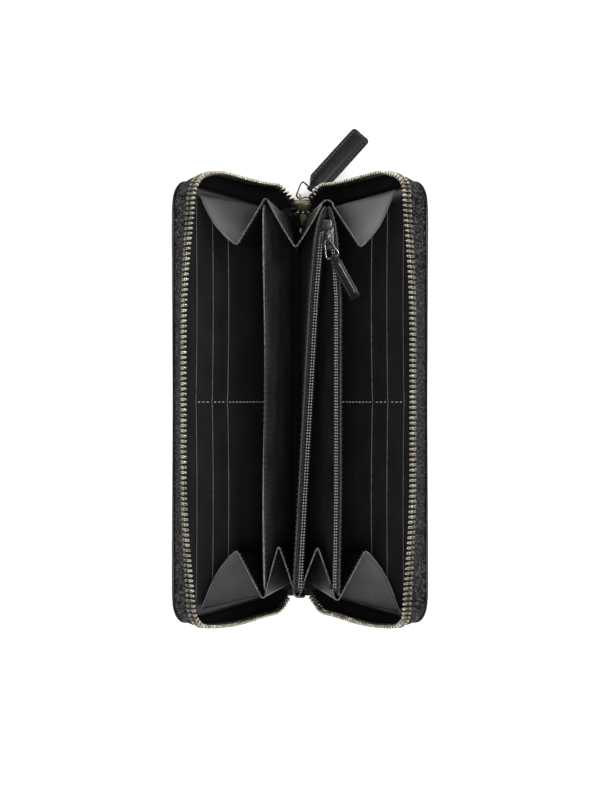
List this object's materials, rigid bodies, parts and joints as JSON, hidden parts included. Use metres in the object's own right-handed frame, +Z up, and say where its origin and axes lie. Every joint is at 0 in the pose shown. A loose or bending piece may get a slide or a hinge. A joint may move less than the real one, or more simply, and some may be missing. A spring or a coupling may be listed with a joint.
{
  "type": "wallet",
  "caption": "Long zip-around leather wallet standing open on its spine, with stepped card pockets, folded end gussets, a divider and a zipped coin pocket.",
  "frame": {"origin": "centre of the flat underside of the spine", "axes": "+Z up away from the spine, +Y along the long side towards the end where the main slider is parked, covers lean out to -X and +X"},
  "size_m": [0.1146, 0.2362, 0.0933],
  "materials": {
    "leather": "smooth black leather, satin",
    "lining": "plain black lining",
    "board": "plain stiffening board",
    "tape": "dark woven zip tape",
    "gold": "pale champagne gold plating, polished",
    "coil": "black nylon coil",
    "dark_metal": "gunmetal plating, semi-gloss",
    "nickel": "bright nickel wire"
  },
  "bodies": {
    "core": {"spine_leather": "leather", "spine_lining": "lining", "coin_floor": "lining", "coin_wall_left": "leather", "coin_tape_left": "tape", "coin_coil_left": "coil", "chain_tail_top": "gold", "chain_tail_bottom": "gold", "gusset_bottom_1": "leather", "gusset_bottom_2": "leather", "gusset_bottom_3": "leather", "gusset_bottom_4": "leather", "gusset_top_1": "leather", "gusset_top_2": "leather", "gusset_top_3": "leather", "gusset_top_4": "leather"},
    "left_cover": {"left_cover_leather": "leather", "left_cover_board": "board", "left_cover_lining": "lining", "left_card_slot_1": "leather", "left_card_slot_2": "leather", "left_card_slot_3": "leather", "left_zip_tape": "tape", "left_zip_teeth": "gold"},
    "right_cover": {"right_cover_leather": "leather", "right_cover_board": "board", "right_cover_lining": "lining", "right_card_slot_1": "leather", "right_card_slot_2": "leather", "right_card_slot_3": "leather", "right_zip_tape": "tape", "right_zip_teeth": "gold"},
    "divider_leaf": {"divider": "leather"},
    "coin_wall": {"coin_wall_right": "leather", "coin_tape_right": "tape", "coin_coil_right": "coil", "coin_stop": "nickel"},
    "main_slider": {"zip_slider": "gold"},
    "main_ring": {"zip_pull_ring": "nickel"},
    "main_tab": {"zip_pull_tab": "leather"},
    "coin_runner": {"coin_slider": "dark_metal"},
    "coin_ring": {"coin_pull_ring": "nickel"},
    "coin_tab": {"coin_pull_tab": "leather"}
  },
  "joints": [
    {"name": "left_cover_hinge", "type": "hinge", "parent": "core", "child": "left_cover", "pos_m": [-0.011, 0, 0.0015], "axis": [0, 1, 0], "range_deg": [-12, 27], "stiffness_Nm_per_rad": 0.6, "deforming": ["gusset_bottom_1", "gusset_bottom_2", "gusset_top_1", "gusset_top_2"]},
    {"name": "right_cover_hinge", "type": "hinge", "parent": "core", "child": "right_cover", "pos_m": [0.011, 0, 0.0015], "axis": [0, -1, 0], "range_deg": [-12, 27], "stiffness_Nm_per_rad": 0.6, "deforming": ["gusset_bottom_3", "gusset_bottom_4", "gusset_top_3", "gusset_top_4", "coin_wall_left", "coin_tape_left", "coin_coil_left"]},
    {"name": "divider_hinge", "type": "hinge", "parent": "core", "child": "divider_leaf", "pos_m": [-0.004, 0, 0.0024], "axis": [0, 1, 0], "range_deg": [-4, 8.9]},
    {"name": "coin_wall_hinge", "type": "hinge", "parent": "core", "child": "coin_wall", "pos_m": [0.004, 0, 0.0024], "axis": [0, -1, 0], "range_deg": [-4.2, 9.2]},
    {"name": "main_slider_slide", "type": "slide", "parent": "core", "child": "main_slider", "axis": [0, 0, 1], "range_m": [0, 0.068]},
    {"name": "main_ring_swing", "type": "hinge", "parent": "main_slider", "child": "main_ring", "pos_m": [0, 0.1026, 0.013], "axis": [0.7071, -0.7071, 0], "range_deg": [0, 40]},
    {"name": "main_tab_swing", "type": "hinge", "parent": "main_ring", "child": "main_tab", "pos_m": [0.00436, 0.10696, 0.01169], "axis": [0.7071, -0.7071, 0], "range_deg": [0, 45]},
    {"name": "coin_slider_slide", "type": "slide", "parent": "coin_wall", "child": "coin_runner", "axis": [0, -1, 0], "range_m": [0, 0.13]},
    {"name": "coin_ring_yaw", "type": "hinge", "parent": "coin_runner", "child": "coin_ring", "pos_m": [0.0126, 0.0694, 0.08875], "axis": [0, 0, -1], "range_deg": [-19, 42]},
    {"name": "coin_tab_lift", "type": "hinge", "parent": "coin_ring", "child": "coin_tab", "pos_m": [0.01595, 0.0636, 0.08875], "axis": [-0.866, -0.5, 0], "range_deg": [0, 22]}
  ],
  "couplings": [
    {"joint": "divider_hinge", "follows": "left_cover_hinge", "ratio": 0.32593},
    {"joint": "coin_wall_hinge", "follows": "right_cover_hinge", "ratio": 0.33704},
    {"joint": "coin_ring_yaw", "follows": "right_cover_hinge", "ratio": 1.52}
  ]
}
